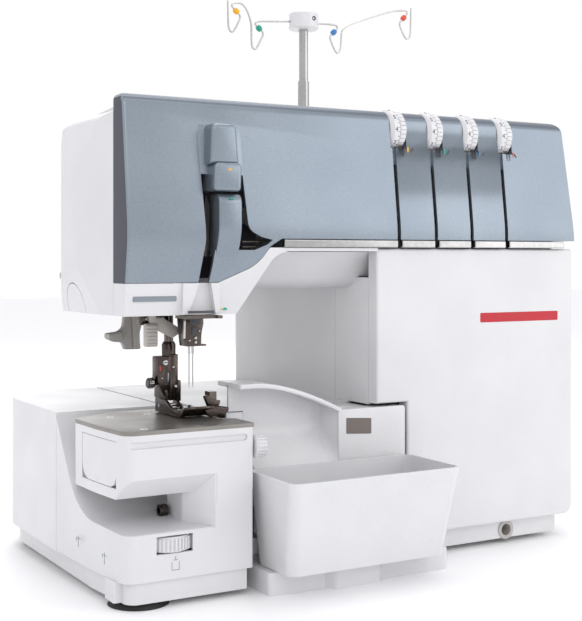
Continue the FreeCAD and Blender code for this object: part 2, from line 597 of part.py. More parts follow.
def drive():
    offsets = ((130, 4), (165, -4))
    cams = [rod("X", x, "shaftY", f"shaftZ + {d}", 12, 9) for x, d in offsets]
    pulley = rod("X", "pulleyX", "shaftY", "shaftZ", "bigPulley", "pulleyWidth")
    keep("main_shaft", fuse(rod("X", 112, "shaftY", "shaftZ", "shaftRadius", 333), pulley, *cams))
    wheel = fuse(
        rod("X", "towerRight + 4", "shaftY", "shaftZ", "wheelRadius - 3", "wheelWidth + 1"),
        cut(rod("X", "towerRight + 6", "shaftY", "shaftZ", "wheelRadius", "wheelWidth - 3"),
            rod("X", "towerRight + 6", "shaftY", "shaftZ", "wheelRadius - 5", "wheelWidth - 3")),
    )
    keep("handwheel", cut(wheel, rod("X", "towerRight", "shaftY", "shaftZ", "shaftRadius", 5)))
    bearings = [tube("X", x, "shaftY", "shaftZ", 11, "shaftRadius + 0.05", 8) for x in (114, 219, 419)]
    keep("shaft_bearings", group(*bearings))
    keep("motor", cut(rod("X", 310, "motorY", "motorZ", "motorRadius", 85),
                      rod("X", 305, "motorY", "motorZ", 3.3, 95)))
    keep("motor_rotor", fuse(
        rod("X", 320, "motorY", "motorZ", 3.25, 97), rod("X", "pulleyX", "motorY", "motorZ", "smallPulley", "pulleyWidth")))
    big = amount("bigPulley") + 0.3
    small = amount("smallPulley") + 0.3
    thick = amount("beltThick")
    loops = [belt_loop(big + extra, small + extra) for extra in (thick, 0)]
    keep("drive_belt", made("drive_belt", loops[0].cut(loops[1])))


def belt_loop(big, small):
    """Solid inside an open belt round two pulleys."""
    x = amount("pulleyX") + 1
    wide = amount("pulleyWidth") - 2
    a = Vector(x, amount("shaftY"), amount("shaftZ"))
    b = Vector(x, amount("motorY"), amount("motorZ"))
    along = (b - a).normalize()
    apart = (b - a).Length
    lean = math.acos((big - small) / apart)
    sides = []
    for turn in (lean, -lean):
        out = FreeCAD.Rotation(Vector(1, 0, 0), math.degrees(turn)).multVec(along)
        sides.append((a + out * big, b + out * small))
    (a1, b1), (a2, b2) = sides
    edges = [
        Part.LineSegment(a1, b1).toShape(),
        Part.Arc(b1, b + along * small, b2).toShape(),
        Part.LineSegment(b2, a2).toShape(),
        Part.Arc(a2, a - along * big, a1).toShape(),
    ]
    return Part.Face(Part.Wire(edges)).extrude(Vector(wide, 0, 0))


def chassis():
    """C-shaped casting that carries the shafts, the presser bar and the dials."""
    casting = prism("XZ", 92, 104, [
        (120, 24), (420, 24), (420, 40), (300, 40, 15), (300, 285, 15), (416, 285), (416, 312), (60, 312), (60, 285),
        (250, 285, 20), (250, 40, 15), (120, 40)])
    bosses = [
        rod("Z", "presserX", "presserY", 285, 8, 25), rod("Z", "needleX + 1", "needleY", 285, 8, 25),
        block(72, "needleY", 287, 95, 96, 300),
    ]
    bores = [
        rod("Z", "presserX", "presserY", 280, "presserRadius + 0.05", 40),
        rod("Z", "needleX + 1", "needleY", 280, "barRadius + 0.05", 40),
    ]
    motor_plate = block(332, 100, 24, 338, "motorY + 32", 115)
    motor_seat = rod("X", 320, "motorY", "motorZ", "motorRadius", 30)
    belt_side = rod("X", 320, "shaftY", "shaftZ", "shaftRadius + 8", 30)
    keep("chassis", cut(fuse(casting, motor_plate, *bosses), motor_seat, belt_side, *bores))


# ---------------------------------------------------------------- controls

def controls():
    keep("front_thumbwheel", cut(
        rod("Z", 45.5, "wheelY", 38.6, 19, 10.8), rod("Z", 45.5, "wheelY", 38.6, 2.05, 10.8)))
    keep("looper_knob", fuse(rod("X", 109.6, 4, 107, 8.5, 6), rod("X", 115.6, 4, 107, 3, 6)))
    for label, z in (("stitch_length_dial", 160), ("differential_dial", 105)):
        keep(label, fuse(rod("X", "towerRight + 0.4", 62, z, "sideDialRadius", 11), rod("X", 432, 62, z, 3.9, 10)))
    plate = block("towerRight", 165, 43, "towerRight + 1.4", 255, 69)
    bodies = [block(428, y0, 46.6, "towerRight", y1, 65.4) for y0, y1 in ((168.6, 187.4), (196.6, 223.4), (232.6, 251.4))]
    mouths = [
        block(431, 172, 51, 443, 184, 61), block(432, 200, 49.5, 443, 220, 62.5), block(427, 235, 49, 443, 249, 63)]
    prongs = [rod("X", 430, y, 56, 1.2, 6) for y in (206, 214)]
    keep("inlet_panel", fuse(cut(fuse(plate, *bodies), *mouths), *prongs))
    rocker = prism("XZ", 235.4, 248.6, [(436, 50.4), (441.4, 50.4), (440.4, 56), (442.6, 61.6), (436, 61.6)])
    keep("power_switch", fuse(rocker, rod("Y", 436, 235.4, 56, 3.4, 13.2)))


# ---------------------------------------------------------------- looper cover and bin

def looper_cover():
    """Hinged cover: flat panel, hollow dish and arched lip, on two knuckles."""
    flat = prism("XZ", "frontY", "frontY + 3", [
        (196, 38), ("coverRight", 38), ("coverRight", 126, 3), (196, 126)])
    dish = prism("YZ", "coverLeft", 199, [
        (24, 38), (24, 84, 30), (44, 112, 30), (44, 152), (47, 152), (47, 111, 30), (27, 83, 30), (27, 38)])
    above = prism("XZ", 10, 80, [
        (100, 148), (126, 148), (164, 140, 60), (199, 125), (199, 170), (100, 170)])
    lip = prism("XZ", "frontY", 62, [
        ("coverLeft", 145), (126, 145.5), (164, 138, 60), (200, 122.5), ("coverRight - 1", 122.5), ("coverRight - 1", 126),
        (200, 126), (164, 142, 60), (126, 149.5), ("coverLeft", 149.5)])
    knuckles = [rod("X", x, "hingeY", "hingeZ", "knuckleRadius", 20) for x in (130, 220)]
    webs = [block(x, "frontY", "hingeZ + 1", x + 20, "frontY + 4.5", 40) for x in (130, 220)]
    bore = rod("X", 100, "hingeY", "hingeZ", "rodRadius + 0.05", 170)
    knob_path = block(100, 10, 30, 122.8, 80, 128)
    lip_back = block(205, 40, 118, 265, 70, 130)
    keep("looper_cover", cut(fuse(flat, cut(dish, above), lip, *knuckles, *webs), bore, knob_path, lip_back))
    keep("cover_hinge_rod", rod("X", 116, "hingeY", "hingeZ", "rodRadius", 142))


def rounded_plate(x0, y0, x1, y1, z, radius):
    """Wire of a rounded rectangle."""
    face = Part.makePlane(x1 - x0, y1 - y0, Vector(x0, y0, z))
    solid = face.extrude(Vector(0, 0, 1))
    uprights = [e for e in solid.Edges if abs(e.tangentAt(e.FirstParameter).z) > 0.9]
    rounded = solid.makeFillet(radius, uprights)
    bottom = min(rounded.Faces, key=lambda f: f.CenterOfMass.z)
    return bottom.OuterWire


def waste_bin():
    wall = amount("binWall")
    left, right, top, low = (amount(n) for n in ("binLeft", "binRight", "binTop", "binFloor"))
    outer = Part.makeLoft([
        rounded_plate(left + 8, -31, right - 3, 20, low, 8),
        rounded_plate(left, -49, right, 22, top, 8)], True, True)
    inner = Part.makeLoft([
        rounded_plate(left + 8 + wall, -31 + wall, right - 3 - wall, 20 - wall, low + wall, 6),
        rounded_plate(left + wall, -49 + wall, right - wall, 22 - wall, top + 0.4, 6)], True, True)
    keep("waste_bin", made("waste_bin", outer.cut(inner)))


# ---------------------------------------------------------------- spool stand

def spool_stand():
    plate = prism("XY", "standZ", "standZ + standThick", [
        (60, 168, 10), (425, 168, 10), (425, "spanBack", 22), (60, "spanBack", 22)], soften=("end", 2))
    bracket = block(250, 172, "towerTop", 400, 270, "standZ")
    spots = [(105, 235), (190, 235), (315, 235), (385, 235)]
    seat = "standZ + standThick"
    pins = []
    for px, py in spots:
        pins.append(rod("Z", px, py, seat, 3.6, 23))
        pins.append(rod("Z", px, py, f"{seat} + 23", 2.6, 3))
        pins.append(rod("Z", px, py, f"{seat} + 26", 3, 32))
    keep("spool_stand_plate", cut(
        fuse(plate, bracket, *pins), rod("Z", "mastX", "mastY", "standZ", "mastOuter", 10)))
    keep("mast_lower_tube", tube("Z", "mastX", "mastY", "standZ", "mastOuter", "mastInner + 0.05", less("standZ", "outerTop")))
    upper = tube("Z", "mastX", "mastY", 300, "mastInner", 3.3, "hubUnder - 300")
    hub = rod("Z", "mastX", "mastY", "hubUnder", 14, less("hubUnder", "hubTop"))
    keep("mast_upper_tube", fuse(upper, hub))
    wire = amount("wireRadius")
    x, y, z = amount("mastX"), amount("mastY"), amount("hubUnder")
    hooks = [
        [(-14, 6.6), (-49.5, 3.4), (-51.4, 0.3), (-41.8, -7), (-49.5, -21.3), (-51.6, -22.5),
         (-54.6, -20.4), (-54.9, 3.1), (-62.4, 18.4), (-73.5, 17.4), (-75.2, 14.5), (-65.4, 6.6), (-72.5, -7.6),
         (-75, -9.2), (-78.1, -6.4), (-78.7, 19)],
        [(14, 7.4), (36, 8.2), (38, 5.1), (28.3, -3.3), (35.1, -17.3), (37.9, -18.4),
         (40.8, -14.9), (42.2, 6.7), (99.8, 28), (115.9, 30), (118.8, 28), (107.9, 17.1), (115.3, 3.2),
         (118.2, 1.9), (121.6, 4.8), (122.4, 33)],
    ]
    strands = [path_wire([(x + dx, y, z + dz) for dx, dz in hook], wire) for hook in hooks]
    beads = []
    for dx, dz, lean in ((-47.2, -2.9, -37), (-70.4, 10.6, -48), (33.2, 1, 41), (113.4, 22.6, 45)):
        along = Vector(math.cos(math.radians(lean)), 0, math.sin(math.radians(lean)))
        middle = Vector(x + dx, y, z + dz)
        beads.append(Part.makeCylinder(amount("beadRadius"), 6, middle - along * 3, along))
    left, right = [strand.fuse(beads[2 * side:2 * side + 2]) for side, strand in enumerate(strands)]
    keep("guide_wires", made("guide_wires", Part.makeCompound([left, right])))
    keep("cone_holders", group(*[
        cut(cone("Z", px, py, seat, 20, 9, 24), rod("Z", px, py, "standZ", 3.65, 60))
        for px, py in spots]))


def screws():
    """Case screws on the back."""
    back = [rod("Y", x, "baseBack", z, 3, 1.6) for x, z in ((80, 40), (80, 110), (150, 40), (250, 200), (420, 200))]
    keep("case_screws", group(*back))


for build in (base_pan, knee_socket, feet, left_base, plates, bed, tower, head, trim, tension, take_up,
              needle_parts, presser, loopers, drive, chassis, controls, looper_cover, waste_bin, spool_stand, screws):
    build()

doc.recompute()
os.makedirs("parts", exist_ok=True)
for obj in doc.Objects:
    if {"Invalid", "Error"} & set(obj.State):
        raise RuntimeError(f"{obj.Label} failed to recompute: {obj.State}")
for label, obj in pieces.items():
    shape = obj.Shape
    if shape.isNull() or not shape.isValid():
        raise RuntimeError(f"{label} has no valid shape")
    shape.exportStep(f"parts/{label}.step")
    box = shape.BoundBox
    print(f"{label:22s} solids {len(shape.Solids):2d} volume {shape.Volume:10.0f}"
          f" x {box.XMin:6.1f}..{box.XMax:6.1f} y {box.YMin:6.1f}..{box.YMax:6.1f} z {box.ZMin:6.1f}..{box.ZMax:6.1f}")
print(len(pieces), "sub-parts")
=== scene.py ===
import json
import math
import bmesh
import bpy
from mathutils import Matrix, Vector


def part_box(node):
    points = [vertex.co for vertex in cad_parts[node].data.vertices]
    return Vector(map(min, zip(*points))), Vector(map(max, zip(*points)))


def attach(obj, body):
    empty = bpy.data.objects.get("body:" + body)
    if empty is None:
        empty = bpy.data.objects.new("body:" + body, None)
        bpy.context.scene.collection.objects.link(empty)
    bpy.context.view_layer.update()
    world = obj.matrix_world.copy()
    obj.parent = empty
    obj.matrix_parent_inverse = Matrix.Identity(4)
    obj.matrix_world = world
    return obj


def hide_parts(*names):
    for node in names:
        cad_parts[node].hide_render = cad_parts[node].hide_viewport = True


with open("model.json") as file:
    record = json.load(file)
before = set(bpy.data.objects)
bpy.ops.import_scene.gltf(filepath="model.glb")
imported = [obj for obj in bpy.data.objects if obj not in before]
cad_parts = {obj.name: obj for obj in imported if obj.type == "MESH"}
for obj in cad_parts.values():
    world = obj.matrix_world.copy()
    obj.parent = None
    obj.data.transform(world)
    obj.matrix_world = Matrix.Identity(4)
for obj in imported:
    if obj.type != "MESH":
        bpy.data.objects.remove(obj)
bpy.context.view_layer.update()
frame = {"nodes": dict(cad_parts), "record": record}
nodes = frame["nodes"]
print("frame loaded:", len(nodes), "nodes")

mm = 0.001
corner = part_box("left_base_cover")[0]  # measuring corner: left side and front of the free arm
axes = {"X": Vector((1, 0, 0)), "Y": Vector((0, 1, 0)), "Z": Vector((0, 0, 1))}


def at(x, y, z):  # millimetres from the measuring corner, up from the table
    return Vector((corner.x + x * mm, corner.y + y * mm, z * mm))


def drawn(spot):  # the same the other way, for places read from a node's box
    return (spot.x - corner.x) / mm, (spot.y - corner.y) / mm, spot.z / mm


# camera, light and floor

cameraPlace = {"spot": (-0.5398, -0.8964, 0.2455), "turn": -30.11, "lens": 69.78, "shiftY": -0.0862}
camera = bpy.data.objects.new("camera", bpy.data.cameras.new("camera"))
bpy.context.scene.collection.objects.link(camera)
camera.location = cameraPlace["spot"]
camera.rotation_euler = (math.radians(90), 0, math.radians(cameraPlace["turn"]))
camera.data.lens = cameraPlace["lens"]
camera.data.shift_y = cameraPlace["shiftY"]
bpy.context.scene.camera = camera
bpy.context.scene.view_settings.view_transform = "Standard"

lamps = {
    "keyLamp": {"spot": (-0.9, -1.8, 1.5), "size": 1.2, "power": 4},
    "fillLamp": {"spot": (1.5, -1.6, 0.9), "size": 1.6, "power": 8},
    "topLamp": {"spot": (0.1, 0.3, 1.9), "size": 1.6, "power": 10},
    "rearLamp": {"spot": (0.6, 1.8, 1.1), "size": 1.8, "power": 7},
}
for name, lamp in lamps.items():
    data = bpy.data.lights.new(name, "AREA")
    data.shape = "DISK"
    data.size = lamp["size"]
    data.energy = lamp["power"]
    holder = bpy.data.objects.new(name, data)
    bpy.context.scene.collection.objects.link(holder)
    holder.location = lamp["spot"]
    aim = Vector((0, 0, 0.2)) - holder.location
    holder.rotation_euler = aim.to_track_quat("-Z", "Y").to_euler()


# materials

def linear(code):  # sRGB hex to linear
    parts = [int(code[i:i + 2], 16) / 255 for i in (1, 3, 5)]
    return [c / 12.92 if c <= 0.04045 else ((c + 0.055) / 1.055) ** 2.4 for c in parts] + [1.0]


def addNode(tree, kind, settings=None, links=None):
    node = tree.nodes.new(kind)
    for name, value in (settings or {}).items():
        if isinstance(name, int) or name in node.inputs:
            node.inputs[name].default_value = value
        else:
            setattr(node, name, value)
    for name, source in (links or {}).items():
        tree.links.new(source, node.inputs[name])
    return node


def surface(name, colour, second, grain, bump, rough, spread=0.05, metal=0.0, stretch=(1, 1, 1), coat=0.0,
            drift=40.0):
    # colour wanders to second over drift mm; grain and bump are in mm too
    material = bpy.data.materials.new(name)
    material.use_nodes = True
    tree = material.node_tree
    shader = tree.nodes["Principled BSDF"]
    shader.inputs["Metallic"].default_value = metal
    shader.inputs["Coat Weight"].default_value = coat
    shader.inputs["Coat Roughness"].default_value = 0.12
    if metal < 0.9:
        shader.inputs["IOR"].default_value = 1.53  # ABS, acetal and lacquer lie close to this
    place = addNode(tree, "ShaderNodeTexCoord")
    run = addNode(tree, "ShaderNodeMapping", {"Scale": stretch}, {"Vector": place.outputs["Object"]})
    fine = addNode(tree, "ShaderNodeTexNoise", {"Scale": 1 / (grain * mm), "Detail": 3.0},
                   {"Vector": run.outputs["Vector"]})
    broad = addNode(tree, "ShaderNodeTexNoise", {"Scale": 1 / (drift * mm), "Detail": 2.0},
                    {"Vector": place.outputs["Object"]})
    blendOf = addNode(tree, "ShaderNodeMath", {"operation": "MULTIPLY"},
                      {0: fine.outputs["Fac"], 1: broad.outputs["Fac"]})
    share = addNode(tree, "ShaderNodeMapRange", {"From Min": 0.12, "From Max": 0.4},
                    {"Value": blendOf.outputs["Value"]})
    tone = addNode(tree, "ShaderNodeMix", {"data_type": "RGBA", 6: linear(colour), 7: linear(second)},
                   {0: share.outputs["Result"]})
    gloss = addNode(tree, "ShaderNodeMapRange",
                    {"From Min": 0.3, "From Max": 0.7, "To Min": rough - spread, "To Max": rough + spread},
                    {"Value": broad.outputs["Fac"]})
    dent = addNode(tree, "ShaderNodeBump", {"Strength": 1.0, "Distance": bump * mm},
                   {"Height": fine.outputs["Fac"]})
    tree.links.new(tone.outputs[2], shader.inputs["Base Color"])
    tree.links.new(gloss.outputs["Result"], shader.inputs["Roughness"])
    tree.links.new(dent.outputs["Normal"], shader.inputs["Normal"])
    return material


# injection-moulded ABS: clean white, satin, with a very fine spark-eroded grain that softens highlights
mouldedAbs = surface("moulded_abs", "#DBDBDC", "#D5D5D7", 0.9, 0.012, 0.34)
# the same plastic polished in the mould: dials, knobs, bin and looper cover catch a tighter highlight
polishedAbs = surface("polished_abs", "#DCDCDD", "#D6D6D8", 1.4, 0.006, 0.22)
# metallic lacquer on ABS: blue grey with visible flake grain, a soft broad highlight
flakeLacquer = surface("flake_lacquer", "#7C8690", "#929CA5", 0.6, 0.03, 0.28, 0.01, metal=0.72, coat=0.1,
                       drift=120.0)
# the same lacquer in the shade of the recess
darkLacquer = surface("dark_lacquer", "#2B2830", "#38353F", 0.8, 0.012, 0.42, metal=0.2)
# painted shade: the same lacquer darkened for the edge that turns away to the left, with hardly any highlight
flankShadeLacquer = surface("flank_shade_lacquer", "#3A3C45", "#42444D", 0.7, 0.015, 0.5, 0.02, metal=0.1)
# painted reflection: the lacquer along the rounded top edge made deeper blue grey, for the dark ceiling it
# reflects
shadeLacquer = surface("shade_lacquer", "#5F6772", "#69717C", 0.6, 0.02, 0.34, 0.01, metal=0.4, coat=0.15,
                       drift=120.0)
# chromed ABS strip and telescopic tube: bright, nearly mirror-like
chromePlate = surface("chrome_plate", "#B4B3B2", "#A5A4A4", 3.0, 0.003, 0.14, 0.04, metal=1.0)
# satin nickel on steel plate: warm dark grey, brushed along the cloth's way
satinNickel = surface("satin_nickel", "#97938E", "#85817C", 0.5, 0.012, 0.4, 0.04, metal=0.85,
                      stretch=(6, 1, 1))
# blued steel of the presser foot: dark brown grey, polished edges
bluedSteel = surface("blued_steel", "#5B524D", "#453D39", 0.8, 0.008, 0.24, 0.06, metal=0.95)
# machined steel of presser, clamp and loopers: brown grey with fine turning marks
machinedSteel = surface("machined_steel", "#7D756E", "#5C554F", 0.6, 0.01, 0.3, 0.07, metal=0.95,
                        stretch=(1, 1, 5))
# bright polished steel of needles, screws and pins
brightSteel = surface("bright_steel", "#C9C8C6", "#ADABA8", 1.2, 0.004, 0.2, metal=1.0)
# sand-cast aluminium: pale, rough skin
castAluminium = surface("cast_aluminium", "#A9AAAC", "#8F9092", 1.6, 0.06, 0.55, metal=0.9)
# glass-filled nylon of motor, inlet and switch: near black, slightly rough
blackNylon = surface("black_nylon", "#1B1B1D", "#242427", 0.7, 0.02, 0.45)
# natural rubber feet and belt: dull black that takes dust
dullRubber = surface("dull_rubber", "#1F1F20", "#2B2A2A", 0.8, 0.03, 0.7)
# ivory grey ABS of the threader lever: slightly warmer than the casing
warmAbs = surface("warm_abs", "#C6C2BC", "#BAB6B0", 0.9, 0.015, 0.36)
# light grey ABS of levers and spool stand: warm and satin
greyAbs = surface("grey_abs", "#B9B5B0", "#ABA7A2", 0.9, 0.015, 0.38)
# pad-printed ink: flat, hardly glossy, with a faint mottling; the four bright ones colour the thread paths
inkYellow = surface("ink_yellow", "#F2B417", "#E5A90F", 0.4, 0.004, 0.4)
inkGreen = surface("ink_green", "#12A58C", "#0E967F", 0.4, 0.004, 0.4)
inkBlue = surface("ink_blue", "#2E7FC1", "#2773B2", 0.4, 0.004, 0.4)
inkRed = surface("ink_red", "#E0503A", "#D04530", 0.4, 0.004, 0.4)
inkDark = surface("ink_dark", "#3A3A40", "#45454B", 0.4, 0.004, 0.45)
inkGrey = surface("ink_grey", "#7B828A", "#868D95", 0.4, 0.004, 0.45)
# enamelled bar: deep red, glossy
redEnamel = surface("red_enamel", "#BE1226", "#B00F21", 0.8, 0.004, 0.25)
# vinyl patch on the looper cover: dark brown grey, satin
patchVinyl = surface("patch_vinyl", "#6B615C", "#766B65", 0.6, 0.01, 0.35)
# painted studio board: pale, matt
boardPaint = surface("board_paint", "#FFFFFF", "#FDFDFE", 2.0, 0.01, 0.6)

bySlot = {
    "white_abs": mouldedAbs, "metallic_grey": flakeLacquer, "chrome_trim": chromePlate,
    "dark_plate": satinNickel,
    "steel": machinedSteel, "cast_aluminium": castAluminium, "motor_black": blackNylon, "rubber": dullRubber,
    "grey_plastic": greyAbs,
}
slotOf = {part["node"]: part["material_slot"] for part in frame["record"]["subparts"]}
byNode = {
    "needles": brightSteel, "case_screws": brightSteel, "takeup_housing": darkLacquer,
    "takeup_lever": bluedSteel,
    "waste_bin": polishedAbs, "main_shaft": brightSteel, "cover_hinge_rod": brightSteel,
}
for name, node in nodes.items():
    node.data.materials.clear()
    node.data.materials.append(byNode.get(name, bySlot[slotOf[name]]))
print("materials given to the nodes")

bpy.ops.mesh.primitive_plane_add(size=12, location=(0, 0, 0))
floor = bpy.context.active_object
floor.name = "floor"
floor.data.materials.append(boardPaint)
world = bpy.data.worlds.new("studio")  # a soft sky gives the light, and the camera sees a white wall
world.use_nodes = True
ambient = world.node_tree.nodes["Background"]
ambient.inputs["Color"].default_value = linear("#FCFCFF")
ambient.inputs["Strength"].default_value = 0.98
backdrop = addNode(world.node_tree, "ShaderNodeBackground", {"Color": linear("#FFFFFF")})
seen = addNode(world.node_tree, "ShaderNodeLightPath")
either = addNode(world.node_tree, "ShaderNodeMixShader", {}, {
    0: seen.outputs["Is Camera Ray"], 1: ambient.outputs["Background"], 2: backdrop.outputs["Background"]})
world.node_tree.links.new(either.outputs["Shader"], world.node_tree.nodes["World Output"].inputs["Surface"])
bpy.context.scene.world = world


# mesh tools

def paint(bm, old, finish):  # faces made since old take this material slot
    for face in bm.faces:
        if face not in old:
            face.material_index = finish


def addBox(bm, low, high, bevel=0.0, steps=2, finish=0, turn=None):
    old = set(bm.faces)
    verts = bmesh.ops.create_cube(bm, size=1)["verts"]
    a, b = at(*low), at(*high)
    bmesh.ops.scale(bm, vec=b - a, verts=verts)
    bmesh.ops.translate(bm, vec=(a + b) / 2, verts=verts)
    if turn:
        bmesh.ops.rotate(bm, cent=turn[0], matrix=turn[1], verts=verts)
    if bevel:
        edges = list({edge for v in verts for edge in v.link_edges})
        bmesh.ops.bevel(bm, geom=edges, offset=bevel * mm, segments=steps, profile=0.5, affect="EDGES",
                        material=-1)
    paint(bm, old, finish)


def addLathe(bm, axis, spot, profile, steps=64, finish=0):
    # profile: (distance along the axis, radius) in mm, from spot
    old = set(bm.faces)
    along, start = axes[axis], at(*spot)
    out = axes["Z"] if axis != "Z" else axes["X"]
    verts = [bm.verts.new(start + along * (a * mm) + out * (r * mm)) for a, r in profile]
    edges = [bm.edges.new(pair) for pair in zip(verts, verts[1:])]
    edges.append(bm.edges.new((verts[-1], verts[0])))
    bmesh.ops.spin(bm, geom=verts + edges, cent=start, axis=along, angle=math.tau, steps=steps,
                   use_merge=True)
    bmesh.ops.remove_doubles(bm, verts=list({v for f in bm.faces if f not in old for v in f.verts}),
                             dist=1e-6)
    paint(bm, old, finish)


planes = {
    "XZ": lambda a, b, w: at(a, w, b),
    "YZ": lambda a, b, w: at(w, a, b),
}


def addPlate(bm, plane, outline, low, high, rim=0.0, rimSteps=3, finish=0, cutSteps=6):
    # outline: (a, b) or (a, b, length cut off by the rounding), thickness from low to high
    old = set(bm.faces)
    point = planes[plane]
    verts = [bm.verts.new(point(c[0], c[1], low)) for c in outline]
    bm.faces.new(verts)
    for cutOff in sorted({c[2] for c in outline if len(c) > 2}):
        picked = [v for v, c in zip(verts, outline) if len(c) > 2 and c[2] == cutOff]
        bmesh.ops.bevel(bm, geom=picked, offset=cutOff * mm, segments=cutSteps, profile=0.5,
                        affect="VERTICES",
                        material=-1)
    fresh = [f for f in bm.faces if f not in old]
    bottom = max(fresh, key=lambda f: len(f.verts))
    raised = bmesh.ops.extrude_face_region(bm, geom=[bottom])["geom"]
    moved = [v for v in raised if isinstance(v, bmesh.types.BMVert)]
    bmesh.ops.translate(bm, vec=point(0, 0, high) - point(0, 0, low), verts=moved)
    if rim:
        top = [f for f in raised if isinstance(f, bmesh.types.BMFace)][0]
        edges = list(top.edges) + list(bottom.edges if bottom.is_valid else [])
        bmesh.ops.bevel(bm, geom=edges, offset=rim * mm, segments=rimSteps, profile=0.5, affect="EDGES",
                        material=-1)
    paint(bm, old, finish)


def addText(bm, text, size, spot, right, up, finish=0, depth=0.05):
    old = set(bm.faces)
    curve = bpy.data.curves.new("digits", "FONT")
    curve.body = text
    curve.size = size * mm
    curve.align_x = "CENTER"
    curve.align_y = "CENTER"
    curve.extrude = depth * mm
    curve.resolution_u = 3
    holder = bpy.data.objects.new("digits", curve)
    bpy.context.scene.collection.objects.link(holder)
    flat = bpy.data.meshes.new_from_object(holder.evaluated_get(bpy.context.evaluated_depsgraph_get()))
    right, up = right.normalized(), up.normalized()
    turn = Matrix((right, up, right.cross(up))).transposed().to_4x4()
    flat.transform(Matrix.Translation(spot) @ turn)
    bm.from_mesh(flat)
    bpy.data.objects.remove(holder)
    bpy.data.meshes.remove(flat)
    paint(bm, old, finish)


def copyOf(name):  # merged copy of a node's mesh
    bm = bmesh.new()
    bm.from_mesh(nodes[name].data)
    bmesh.ops.remove_doubles(bm, verts=bm.verts, dist=1e-6)
    bmesh.ops.dissolve_limit(bm, angle_limit=math.radians(0.5), verts=bm.verts, edges=bm.edges)
    return bm


def keepPiece(bm, name, body, materials, replaced=(), angle=35, soften=0.0, recalc=True):
    if recalc:
        bmesh.ops.recalc_face_normals(bm, faces=bm.faces)
    mesh = bpy.data.meshes.new(name)
    bm.to_mesh(mesh)
    bm.free()
    for material in materials:
        mesh.materials.append(material)
    mesh.shade_smooth()
    mesh.set_sharp_from_angle(angle=math.radians(angle))
    piece = bpy.data.objects.new(name, mesh)
    bpy.context.scene.collection.objects.link(piece)
    if soften:
        bevel = piece.modifiers.new("soft_edges", "BEVEL")
        bevel.width = soften * mm
        bevel.segments = 3
        bevel.limit_method = "ANGLE"
        bevel.angle_limit = math.radians(40)
        bevel.harden_normals = True
    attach(piece, body)
    if replaced:
        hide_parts(*replaced)


# tension dials

dialLook = {"radius": 17.5, "width": 14, "ribEvery": 12, "tickEvery": 12, "digit": 5.4}


def makeDial(index, marks):
    low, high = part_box(f"tension_dial_{index}")
    x, y, z = drawn((low + high) / 2)
    left = x - dialLook["width"] / 2
    radius = dialLook["radius"]
    bm = bmesh.new()
    addLathe(bm, "X", (left, y, z), [
        (0, 3.1), (0, radius - 3.2), (1.9, radius - 0.5), (2.6, radius), (7.4, radius), (7.9, radius - 0.9),
        (13.2, radius - 0.9), (14, radius - 1.7), (14, 3.1)], steps=120)
    addLathe(bm, "X", (left + 13.4, y, z),
             [(0, radius - 2.4), (0, radius - 0.6), (0.5, radius - 0.6), (0.5, radius - 2.4)],
             120, 2)
    centre = at(left, y, z)
    for k in range(int(360 / dialLook["ribEvery"])):
        spin = Matrix.Rotation(math.radians(k * dialLook["ribEvery"]), 3, "X")
        addBox(bm, (left + 8.2, y - 1.6, z + radius - 1.6), (left + 13.3, y + 1.6, z + radius - 0.1),
               0.3, 2, 0, (centre, spin))
    for k in range(int(360 / dialLook["tickEvery"])):
        spin = Matrix.Rotation(math.radians(k * dialLook["tickEvery"]), 3, "X")
        addBox(bm, (left + 5.7, y - 0.2, z + radius - 0.2), (left + 7.3, y + 0.2, z + radius + 0.04),
               0, 2, 1, (centre, spin))
    for k, mark in enumerate(marks):
        lean = math.radians(90 - 36 * (k - 1))
        out = Vector((0, -math.sin(lean), math.cos(lean)))
        up = Vector((0, math.cos(lean), math.sin(lean)))
        addText(bm, mark, dialLook["digit"], at(left + 4, y, z) + out * ((radius - 0.14) * mm),
                Vector((1, 0, 0)), up, 1,
                0.26)
    keepPiece(bm, f"ribbed_dial_{index}", f"dial_{index}", [polishedAbs, inkDark, brightSteel],
              [f"tension_dial_{index}"], recalc=False)


for index in range(1, 5):
    makeDial(index, ["3", "4", "5", "6", "7", "8", "9", "0", "1", "2"])
print("dials made")


# rounded copies

def makeSoftCopies():
    looks = {
        "trim_strips": ("frame", 0.8, chromePlate), "power_switch": ("switch", 0.4, blackNylon),
        "inlet_panel": ("frame", 0.4, blackNylon), "spool_stand_plate": ("frame", 0.8, greyAbs),
        "feed_dogs": ("feed", 0.3, brightSteel),
    }
    for name, (body, width, material) in looks.items():
        bm = copyOf(name)
        keepPiece(bm, f"soft_{name}", body, [material], [name], 40, width, False)


makeSoftCopies()
print("rounded copies made")


# front panel: rounded left edge, with painted shade on the flank and along the top

def makePanel():
    look = {"edge": 2.6, "edgeSteps": 5}
    bm = copyOf("front_panel")
    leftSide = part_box("front_panel")[0].x
    flank = [e for e in bm.edges if len(e.link_faces) == 2 and not e.is_boundary
             and all(abs(v.co.x - leftSide) < 0.2 * mm for v in e.verts)
             and min(f.normal.y for f in e.link_faces) < -0.05
             and any(f.normal.x < -0.9 for f in e.link_faces)
             and any(abs(f.normal.x) < 0.3 for f in e.link_faces)]
    bmesh.ops.bevel(bm, geom=flank, offset=look["edge"] * mm, segments=look["edgeSteps"], profile=0.5,
                    affect="EDGES",
                    material=-1)
    # painted shade: faces that turn to the left take the darkened flank lacquer
    for face in bm.faces:
        if face.normal.x < -0.93 and face.calc_center_median().x < leftSide + 0.5 * mm:
            face.material_index = 1
        # painted reflection: faces on the rounded top take the darker top lacquer
        if face.normal.z > 0.5 and face.calc_center_median().z > 0.35:
            face.material_index = 2
    keepPiece(bm, "lacquered_panel", "frame", [flakeLacquer, flankShadeLacquer, shadeLacquer],
              ["front_panel"], 38, recalc=False)


makePanel()
print("front panel made")


# take-up shrouds

